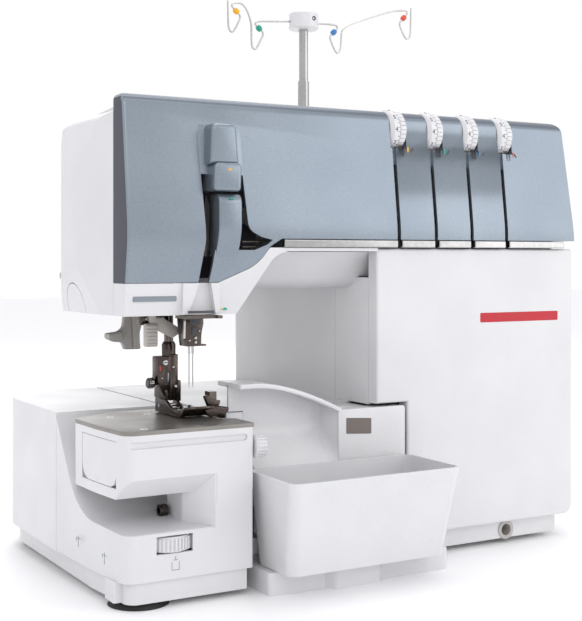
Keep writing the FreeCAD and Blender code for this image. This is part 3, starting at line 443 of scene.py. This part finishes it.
def halfRound(bm, x, y, z, radius, finish):  # printed half dot, flat side down
    outline = [(x + radius * math.cos(t), z + radius * 0.9 * math.sin(t)) for t in
               [math.pi * k / 12 for k in range(13)]]
    addPlate(bm, "XZ", outline, y, y + 0.4, 0, 1, finish)


def makeShrouds():
    bm = bmesh.new()
    addPlate(bm, "XZ", [(81.2, 313.5), (105, 313.5), (102.6, 343.5, 5), (82.6, 343.5, 5)], 15.5, 34, 3.2, 5)
    leanBack = (at(92, 30, 329), Matrix.Rotation(math.radians(-7.5), 3, "X"))
    addBox(bm, (77, 28.2, 306), (112.8, 33, 345.5), 0.4, 2, 0, leanBack)
    addPlate(bm, "XZ", [(82.8, 293.6, 3), (105.2, 293.6, 3), (106, 314.6, 4), (83.6, 314.6, 4)], 12.8, 38,
             2.4, 5)
    addPlate(bm, "YZ", [(34, 246), (34, 292.2), (19.5, 292.2, 2), (15.9, 288, 3), (15.9, 262, 8), (23, 245)],
             88.6, 107.6, 1.8, 4)
    halfRound(bm, 95.6, 12.6, 308.8, 1.7, 1)
    halfRound(bm, 98.2, 15.7, 287.8, 1.7, 2)
    keepPiece(bm, "takeup_shrouds", "frame", [flakeLacquer, inkYellow, inkGreen],
              ["takeup_covers"], 35)


makeShrouds()
print("take-up shrouds made")


# looper cover: dished wall that runs smoothly into the flat panel, under an arched lip

def archAt(x):
    run = max(0.0, (x - 126) / 74)
    return 146.5 - 23.5 * run ** 1.6


def smoothStep(value):
    value = min(1.0, max(0.0, value))
    return value * value * (3 - 2 * value)


def makeLooperCover():
    look = {"left": 110, "wall": 199, "front": 24, "foot": 38, "deep": 20, "dishFrom": 78, "dishRise": 38,
            "sideRun": 9, "thick": 2.4, "columns": 64, "rows": 56}
    bm = bmesh.new()
    bmesh.ops.create_grid(bm, x_segments=look["columns"], y_segments=look["rows"], size=0.5)
    for v in bm.verts:
        x = look["left"] + (v.co.x + 0.5) * (look["wall"] - look["left"])
        z = look["foot"] + (v.co.y + 0.5) * (archAt(x) + 1 - look["foot"])
        rise = smoothStep((z - look["dishFrom"]) / look["dishRise"])
        sink = look["deep"] * rise * smoothStep((look["wall"] - x) / look["sideRun"])
        v.co = at(x, look["front"] + sink, z)
    low = [f for f in bm.faces if f.calc_center_median().x < at(122.8, 0,
                                                                0).x and f.calc_center_median().z < 0.128]
    bmesh.ops.delete(bm, geom=low, context="FACES")
    if sum(f.normal.y for f in bm.faces) > 0:
        bmesh.ops.reverse_faces(bm, faces=bm.faces)
    ring = bmesh.ops.extrude_face_region(bm, geom=list(bm.faces), use_keep_orig=True)["geom"]
    back = [v for v in ring if isinstance(v, bmesh.types.BMVert)]
    bmesh.ops.translate(bm, vec=(0, look["thick"] * mm, 0), verts=back)
    addPlate(bm, "XZ", [(196.5, 38), (260, 38), (260, 126, 2.5), (201, 126), (196.5, 124.5)], 24, 27, 0.8, 3)
    top = [110, 118, 126] + list(range(130, 201, 5))
    lip = [(x, archAt(x)) for x in top] + [(x, archAt(x) + 3.8) for x in reversed(top)]
    addBox(bm, (199, 25.4, 121.6), (259, 40, 125.8), 0.6)
    addPlate(bm, "XZ", lip, 24, 40, 0.9, 3)
    shelf = [(x, archAt(x)) for x in top] + [(232, 121.6),
                                             (232, 125.4)] + [(x, archAt(x) + 3.6) for x in reversed(top)]
    addPlate(bm, "XZ", shelf, 38, 62, 0.5, 2)
    for x in (130, 220):
        addLathe(bm, "X", (x, 31, 29), [(0, 2.6), (0, 5), (20, 5), (20, 2.6)], 48)
        addBox(bm, (x, 24.2, 30), (x + 20, 28.4, 40), 0.4)
    addPlate(bm, "XZ", [(203.4, 106.9, 0.8), (227, 105.4, 0.8), (227, 117.8, 0.8), (203.4, 119.4, 0.8)],
             23.85, 24.5, 0, 1, 1)
    keepPiece(bm, "rounded_looper_cover", "cover", [polishedAbs, patchVinyl], ["looper_cover"],
              35)
    bm = bmesh.new()
    addPlate(bm, "XZ", [(108.2, 60), (122.4, 60), (122.4, 127), (108.2, 127)], 44, 46.5, 0.3, 2)
    keepPiece(bm, "knob_backing", "frame", [mouldedAbs])


makeLooperCover()
print("looper cover made")


# needle clamp, presser foot and levers

def makeNeedleClamp():
    bm = bmesh.new()
    addPlate(bm, "XZ",
             [(77.4, 201), (93.6, 201), (93.6, 195), (91.8, 187, 3), (91.8, 179.4), (96, 179.2), (96, 178),
                        (79.8, 178), (78.8, 186, 3)], 53, 67, 0.5, 2)
    addLathe(bm, "Z", (87.2, 60, 199), [(0, 0), (0, 3.4), (112, 3.4), (112, 0)], 48)
    addBox(bm, (76.9, 52.6, 184), (78.4, 54.6, 200), 0.4, 2, 1)
    addBox(bm, (83.4, 52.4, 186.8), (87.8, 53.4, 192.6), 0.4, 2, 2)
    addBox(bm, (82, 52.7, 194.2), (91.6, 53.3, 199.6), 0.2, 2, 2)
    for x, z, radius in ((86.6, 184.3, 1.25), (86.6, 181, 1.25), (81.6, 182.5, 0.9), (89.6, 189.5, 0.8)):
        addLathe(bm, "Y", (x, 51.7, z), [(0, 0), (0, radius - 0.3), (0.3, radius), (1.6, radius), (1.6, 0)],
                 28, 1)
    for x in (84.7, 87.8):
        addLathe(bm, "Z", (x, 60, 172.6), [(0, 0.62), (0, 0.85), (2.4, 0.85), (2.4, 0.62)], 20, 3)
    keepPiece(bm, "needle_clamp", "needle_unit", [bluedSteel, brightSteel, inkDark, inkRed],
              ["needle_bar"])


def makeFootHolder():
    bm = bmesh.new()
    addLathe(bm, "Z", (79.5, 86, 168), [(0, 3.6), (0, 5.4), (9.6, 5.4), (12, 4.2), (12, 3.6)], 48)
    addPlate(bm, "XZ", [(66.8, 169.2, 1.5), (77.6, 169.2, 1.5), (77.6, 143), (71.5, 143), (66.8, 150)], 78,
             89, 0.5, 2)
    addBox(bm, (77.4, 80, 134.6), (85, 91, 170.4), 0.8, 2)
    addBox(bm, (84.2, 81, 133.6), (87.8, 90, 150), 0.6, 2)
    addPlate(bm, "YZ",
             [(92, 150), (82, 150), (78, 143), (73.5, 139.4), (73.5, 136.2), (80, 136.2), (92, 137)],
             69.8, 73, 0.5, 2)
    addBox(bm, (72.8, 77.5, 147), (75.6, 78.4, 157), 0.4, 2, 2)
    addBox(bm, (74.9, 77.2, 149), (75.5, 78.2, 156.4), 0.2, 2, 1)
    addBox(bm, (68.2, 77.6, 158.2), (69.3, 78.4, 161.8), 0.2, 2, 3)
    for x, y, z, radius in ((72.8, 76.4, 164.4, 2.3), (80.6, 79, 160.5, 1.1), (82.6, 79, 145.6, 1.2),
                            (70.4, 77.2, 152.4, 0.8)):
        addLathe(bm, "Y", (x, y, z), [(0, 0), (0, radius - 0.4), (0.4, radius), (2, radius), (2, 0)], 32, 1)
    addBox(bm, (71, 76.2, 164.1), (74.6, 76.8, 164.7), 0, 2, 2)
    addLathe(bm, "X", (60.6, 84, 148.6),
             [(0, 0), (0, 3.4), (0.8, 4), (4.4, 4), (5.2, 3.4), (5.2, 1.8), (8, 1.8), (8, 0)], 48)
    for k in range(20):
        turn = (at(60.6, 84, 148.6), Matrix.Rotation(math.tau * k / 20, 3, "X"))
        addBox(bm, (61.3, 83.6, 152.2), (65, 84.4, 152.9), 0.15, 2, 1, turn)
    keepPiece(bm, "presser_ankle", "presser", [bluedSteel, brightSteel, inkDark, inkRed],
              ["foot_holder"])


def makePresserFoot():
    bm = bmesh.new()
    sole = [(92, 125.7), (92, 128.2), (60, 128.2), (49, 128.4, 4), (41, 133.4), (38.6, 134.2, 0.5),
            (38.3, 132.4, 0.5),
            (44.5, 126.6, 3), (51, 125.7)]
    addPlate(bm, "YZ", sole, 70.6, 80.2, 0.4, 2)
    addPlate(bm, "YZ", sole, 92.2, 95.4, 0.4, 2)
    addPlate(bm, "YZ", [(92, 125.7), (92, 128.2), (66, 128.2), (66, 125.7)], 80, 92.4, 0.3, 2)
    addPlate(bm, "YZ", [(56, 125.7), (56, 128.2)] + sole[3:], 80, 92.4, 0.4, 2)
    addPlate(bm, "YZ",
             [(91, 127), (91, 138, 2), (83, 140.4, 3), (73, 137, 4), (60, 130.4, 5), (47, 131), (47, 127)],
             70.2, 72.4, 0.4, 2)
    addPlate(bm, "YZ", [(90, 127), (90, 133.6, 2), (82, 134.2, 3), (72, 129), (72, 127)], 84.4, 86.6, 0.4, 2)
    addBox(bm, (73.4, 70, 127.6), (79, 80.5, 131.4), 0.6, 2, 1)
    addBox(bm, (74.6, 58, 127.8), (77.8, 66, 130), 0.6, 2, 1)
    addBox(bm, (73.6, 49.5, 127.6), (79.2, 53.5, 130.6), 0.6, 2, 1)
    addLathe(bm, "X", (69.8, 83, 131), [(0, 0), (0, 1.5), (17.4, 1.5), (17.4, 0)], 32, 1)
    for x, y in ((76.2, 62), (76.4, 75), (89.6, 70), (76.4, 51.4)):
        addLathe(bm, "Z", (x, y, 129), [(0, 0), (0, 1.3), (2.6, 1.3), (3, 0.9), (3, 0)], 28, 1)
    addPlate(bm, "XZ", [(87.5, 131), (91, 125.8, 2), (106.4, 126.6, 4), (108.6, 132, 1.5), (97.5, 134, 4)],
             38.6, 46.4, 1.3, 4)
    addPlate(bm, "XZ",
             [(89.8, 140.6, 1), (92.6, 141.8, 1), (95, 138.4, 1), (103.2, 137.2, 1), (102, 133.4, 1),
                        (93.4, 132.4, 1)], 43, 47.6, 0.5, 2)
    keepPiece(bm, "jointed_foot", "foot", [bluedSteel, brightSteel], ["presser_foot"])


def makeLevers():
    bm = bmesh.new()
    addPlate(bm, "XZ", [(51, 216.5), (63.5, 216.5), (64, 206), (72.5, 203, 4), (78, 196.6, 1), (74.4, 186, 8),
                        (73.8, 179, 6), (75.2, 171, 1), (61.6, 171.2, 1), (59.6, 177.2, 2), (52.4, 177.6, 1),
                        (46.2, 180.6, 1), (46.2, 184.6,
                                           1), (58.6, 186, 4), (60.9, 191, 6), (61.5, 199), (52, 205)],
             131.8, 137.2, 0.9, 3)
    addPlate(bm, "XZ",
             [(67.8, 203), (72.5, 203, 4), (77.8, 196.6, 1), (74.3, 186, 8), (73.7, 179, 6), (75, 171.4, 1),
                        (69.4, 171.4, 1), (68.2, 186, 6)], 129.8, 132.4, 0.7, 3)
    addPlate(bm, "XZ", [(46.4, 180.8, 1), (46.4, 184.4, 1), (58, 185.6), (58, 178.4)], 127, 132.4, 0.7, 3)
    keepPiece(bm, "curved_lifter", "lifter", [greyAbs], ["presser_lifter"])
    bm = bmesh.new()
    addBox(bm, (54.2, 70.4, 177.4), (63.6, 77, 195), 0.9, 3)
    for k in range(6):
        addBox(bm, (54.6, 69.4, 178.6 + 2.7 * k), (63.2, 71, 180 + 2.7 * k), 0.4, 2)
    addPlate(bm, "XZ",
             [(62, 199.5), (68, 199.5), (81.6, 191.6, 1), (82, 186.4, 1), (77, 183.4, 1), (62.4, 190.6)],
             72.4, 75.6, 0.6, 2)
    addBox(bm, (58, 72.2, 193), (63, 76, 225), 0.3, 2)
    keepPiece(bm, "ribbed_threader_lever", "threader", [warmAbs], ["threader_lever"])
    bm = bmesh.new()
    addBox(bm, (65.2, 77, 192.6), (75.2, 88, 203.6), 0.8, 2)
    addBox(bm, (52.6, 78.2, 193.6), (64.6, 86, 203.6), 0.6, 2)
    addBox(bm, (84.2, 70, 190), (90, 78, 203.6), 0.6, 2)
    for x, z in ((70.6, 198), (58, 198.5)):
        addLathe(bm, "Y", (x, 76.4, z), [(0, 0), (0, 1.5), (0.4, 1.9), (2.4, 1.9), (2.4, 0)], 28, 1)
    keepPiece(bm, "under_head_block", "frame", [bluedSteel, brightSteel])


makeNeedleClamp()
makeFootHolder()
makePresserFoot()
makeLevers()
print("needle area made")


# prints and small marks on the casing

def makeMarks():
    colours = [inkYellow, inkGreen, inkBlue, inkRed]
    bm = bmesh.new()
    for index in range(4):
        x = 257 + 37 * index
        addBox(bm, (x - 11.2, 30.9, 348), (x - 7.9, 33.4, 348.5))
        for column in (1.4, 4):
            for k in range(7):
                addBox(bm, (x + column, 28.2, 328 + 1.2 * k), (x + column + 1.4, 31.6, 328.6 + 1.2 * k))
        lean = (at(x + 12, 30, 331), Matrix.Rotation(math.radians(35 - 70 * (index == 3)), 3, "Y"))
        addBox(bm, (x + 11.3, 28.6, 327.4), (x + 12.6, 30.6, 334.6), 0, 1, 0, lean)
        addBox(bm, (x + 8.3, 28.6, 329), (x + 9.6, 31, 335), 0, 1, index + 1)
    for x, finish in ((94.5, 1), (99, 2)):
        halfRound(bm, x, 27.9, 206.2, 1.9, finish)
    addBox(bm, (65, 19.6, 204.6), (86, 20.6, 206.4), 0.2, 2, 0)
    keepPiece(bm, "dial_marks", "frame", [inkDark] + colours)
    bm = bmesh.new()
    addPlate(bm, "XZ", [(337, 190.5, 1), (423, 190.5, 1), (423, 198.5, 1), (337, 198.5, 1)], 23.85, 24.4, 0,
             1, 0)
    addPlate(bm, "XZ", [(25, 213.4, 0.8), (59, 213.4, 0.8), (59, 217.2, 0.8), (25, 217.2, 0.8)], 26.6, 27.6,
             0, 1, 1)
    keepPiece(bm, "plain_bars", "frame", [redEnamel, inkGrey])
    bm = bmesh.new()
    for x, y in ((28.9, 80.4), (59.8, 82.6), (25.8, 8.8), (70.7, 12.1)):
        addLathe(bm, "Z", (x, y, 124.9), [(0, 0), (0, 2.6), (0.2, 2.6), (0.2, 1.7), (0.15, 1.7), (0.15, 0)],
                 32)
        addBox(bm, (x - 1.6, y - 0.25, 125), (x + 1.6, y + 0.25, 125.15), 0, 1, 1)
    addLathe(bm, "X", (53.4, 46, 58.6), [(0, 2.4), (0, 4.4), (6, 4.4), (6, 0), (5.6, 0), (5.6, 2.4)], 40, 1)
    keepPiece(bm, "plate_screws", "frame", [brightSteel, bluedSteel])
    bm = bmesh.new()
    for y, z in ((70, 39.4), (18, 38)):
        addBox(bm, (0, y, z - 6), (0.3, y + 0.5, z + 2))
        addBox(bm, (0, y - 4, z), (0.3, y + 4.4, z + 0.4))
        addBox(bm, (0, y + 4, z - 2.4), (0.3, y + 4.4, z))
    for a, b, c, d in ((43, 26, 49, 26.4), (43, 26, 43.4, 32), (48.6, 26, 49, 32), (44.4, 33, 47.8, 33.4),
                       (45.8, 33, 46.2, 36)):
        addBox(bm, (a, -0.1, b), (c, 0.2, d))
    keepPiece(bm, "base_marks", "frame", [inkGrey])
    bm = bmesh.new()
    addBox(bm, (232.6, 36.4, 219.5), (300, 87, 229), 0.3)
    addPlate(bm, "YZ", [(49.8, 335), (49.8, 363.4), (90, 363.4), (164.4, 357.4, 17), (164.4, 335)], 43.2, 45,
             0, 1, 0, 10)
    addBox(bm, (248.2, 62.8, 345), (376.8, 69.9, 363.7), 0.3)
    for left, right in ((248.2, 249.2), (264.9, 286.1), (301.9, 323.1), (338.9, 360.1), (375.9, 376.8)):
        addBox(bm, (left, 49.3, 345), (right, 63.4, 363.7), 0.2)
    keepPiece(bm, "inner_fillers", "frame", [mouldedAbs])


makeMarks()
print("marks made")


# thread guides on the mast

def makeGuides():
    x, y, z = drawn((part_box("mast_upper_tube")[0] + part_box("mast_upper_tube")[1]) / 2)
    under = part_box("mast_upper_tube")[1].z / mm - 16
    bm = bmesh.new()
    addLathe(bm, "Z", (x, y, under), [
        (-156, 3.3), (-156, 4.3), (0, 4.3), (0, 12.6), (1.4, 14), (14.2, 14), (15.5, 13), (16, 11.4), (16, 0),
        (14, 0), (14, 3.3)], steps=96)
    tubeFaces = [f for f in bm.faces if f.calc_center_median().z < (under - 0.5) * mm]
    for face in tubeFaces:
        face.material_index = 1
    addLathe(bm, "Y", (x + 3, y - 14.2, under + 9), [(0, 1.2), (0.3, 2.1), (1.2, 2.1), (1.2, 1.2)], 32, 2)
    keepPiece(bm, "mast_hub", "mast", [polishedAbs, chromePlate, inkDark], ["mast_upper_tube"])
    wires = {
        "left": [(-13.6, 6.6), (-33, 4.8), (-49.5, 3.4), (-51.4, 0.3), (-47, -2.8), (-41.8, -7), (-45, -13),
                 (-49.5, -21.3), (-51.6, -22.5), (-54.6, -20.4), (-54.8, -8), (-54.9, 3.1), (-62.4, 18.4),
                 (-73.5, 17.6), (-75.2, 14.5), (-70.4, 10.4), (-65.4, 6.6), (-68.6, -0.4), (-72.5, -7.6),
                 (-75, -9.2), (-78.1, -6.4), (-78.5, 6), (-78.7, 19)],
        "right": [(13.6, 7.4), (25, 7.9), (36, 8.2), (38, 5.1), (33, 1), (28.3, -3.3), (31, -10),
                  (35.1, -17.3),
                  (37.9, -18.4), (40.8, -14.9), (41.6, -4), (42.2, 6.7), (70, 17.3), (99.8, 28), (115.9, 30),
                  (118.8, 28), (113.4, 22.5), (107.9, 17.1), (111, 10), (115.3, 3.2), (118.2, 1.9),
                  (121.6, 4.8), (122, 18), (122.4, 33)],
    }
    for side, route in wires.items():
        curve = bpy.data.curves.new(f"guide_wire_{side}", "CURVE")
        curve.dimensions = "3D"
        curve.bevel_depth = 0.9 * mm
        curve.bevel_resolution = 3
        curve.resolution_u = 6
        curve.use_fill_caps = True
        spline = curve.splines.new("NURBS")
        spline.points.add(len(route) - 1)
        for point, (dx, dz) in zip(spline.points, route):
            point.co = (*at(x + dx, y, under + dz), 1)
        spline.order_u = 3
        spline.use_endpoint_u = True
        holder = bpy.data.objects.new(f"guide_wire_{side}", curve)
        bpy.context.scene.collection.objects.link(holder)
        mesh = bpy.data.meshes.new_from_object(holder.evaluated_get(bpy.context.evaluated_depsgraph_get()))
        bpy.data.objects.remove(holder)
        bm = bmesh.new()
        bm.from_mesh(mesh)
        bmesh.ops.remove_doubles(bm, verts=bm.verts, dist=1e-7)
        keepPiece(bm, f"guide_wire_{side}", "mast", [brightSteel], ["guide_wires"], 60)
    beads = {"green": (-47, -2.8, inkGreen, 45), "yellow": (-70.4, 10.4, inkYellow, 42),
             "blue": (33, 1, inkBlue, -42), "red": (113.4, 22.5, inkRed, -42)}
    for colour, (dx, dz, material, lean) in beads.items():
        bm = bmesh.new()
        verts = bmesh.ops.create_uvsphere(bm, u_segments=32, v_segments=20, radius=3.0 * mm)["verts"]
        bmesh.ops.scale(bm, vec=(0.9, 0.9, 1.25), verts=verts)
        for v in verts:
            if abs(v.co.z) > 2.6 * mm:
                v.co.z = math.copysign(2.6 * mm, v.co.z)
        bmesh.ops.rotate(bm, cent=(0, 0, 0), matrix=Matrix.Rotation(math.radians(lean - 90), 3, "Y"),
                         verts=verts)
        bmesh.ops.translate(bm, vec=at(x + dx, y, under + dz), verts=verts)
        bmesh.ops.remove_doubles(bm, verts=bm.verts, dist=1e-6)
        keepPiece(bm, f"bead_{colour}", "mast", [material])


makeGuides()
print("mast and guides made")


# small wheels and knobs

def makeRibbed(name, node, body, axis, ribs, ribSize, profile):
    low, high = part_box(node)
    middle = (low + high) / 2
    x, y, z = drawn(middle)
    bm = bmesh.new()
    spot = {"X": (drawn(low)[0], y, z), "Z": (x, y, drawn(low)[2])}[axis]
    addLathe(bm, axis, spot, profile, 96)
    start, end, radius, wide, deep = ribSize
    for k in range(ribs):
        spin = Matrix.Rotation(math.tau * k / ribs, 3, axis)
        if axis == "X":
            lowSpot = (spot[0] + start, y - wide / 2, z + radius - deep)
            highSpot = (spot[0] + end, y + wide / 2, z + radius)
        else:
            lowSpot = (x + radius - deep, y - wide / 2, spot[2] + start)
            highSpot = (x + radius, y + wide / 2, spot[2] + end)
        addBox(bm, lowSpot, highSpot, 0.35, 2, 0, (at(*spot), spin))
    keepPiece(bm, name, body, [polishedAbs], [node], recalc=False)


makeRibbed("ribbed_thumbwheel", "front_thumbwheel", "thumbwheel", "Z", 40, (0.8, 10, 19, 1.6, 1.4), [
    (0, 2.1), (0, 17.1), (0.8, 17.9), (10, 17.9), (10.8, 17.1), (10.8, 2.1)])
makeRibbed("ribbed_knob", "looper_knob", "knob", "X", 18, (0.6, 8.2, 8.5, 1.5, 1.2), [
    (0, 0), (0, 7), (0.6, 7.6), (8.2, 7.6), (9, 6.8), (9, 3.2), (9.6, 3), (10.6, 2.4), (10.6, 0)])
makeRibbed("ribbed_handwheel", "handwheel", "drive", "X", 36, (3, 18, 33, 3.2, 2.4), [
    (0, 5.3), (0, 29), (2, 31.6), (3, 31.6), (18, 31.6), (19.6,
                                                          31), (20.8, 28.6), (21, 26), (20.2, 23), (20.2,
                                                                                                    0), (8,
                                                                                                         0),
    (8, 5.3)])
for name, node, body in (("ribbed_length_dial", "stitch_length_dial", "length_dial"),
                         ("ribbed_feed_dial", "differential_dial", "feed_dial")):
    makeRibbed(name, node, body, "X", 30, (9.4, 18, 18, 1.9, 1.5), [
        (0, 0), (0, 3.9), (8.4, 3.9), (8.4, 16.4), (9.4, 17.2), (18, 17.2), (19.4, 15.6), (19.4, 0)])
print("wheels made")
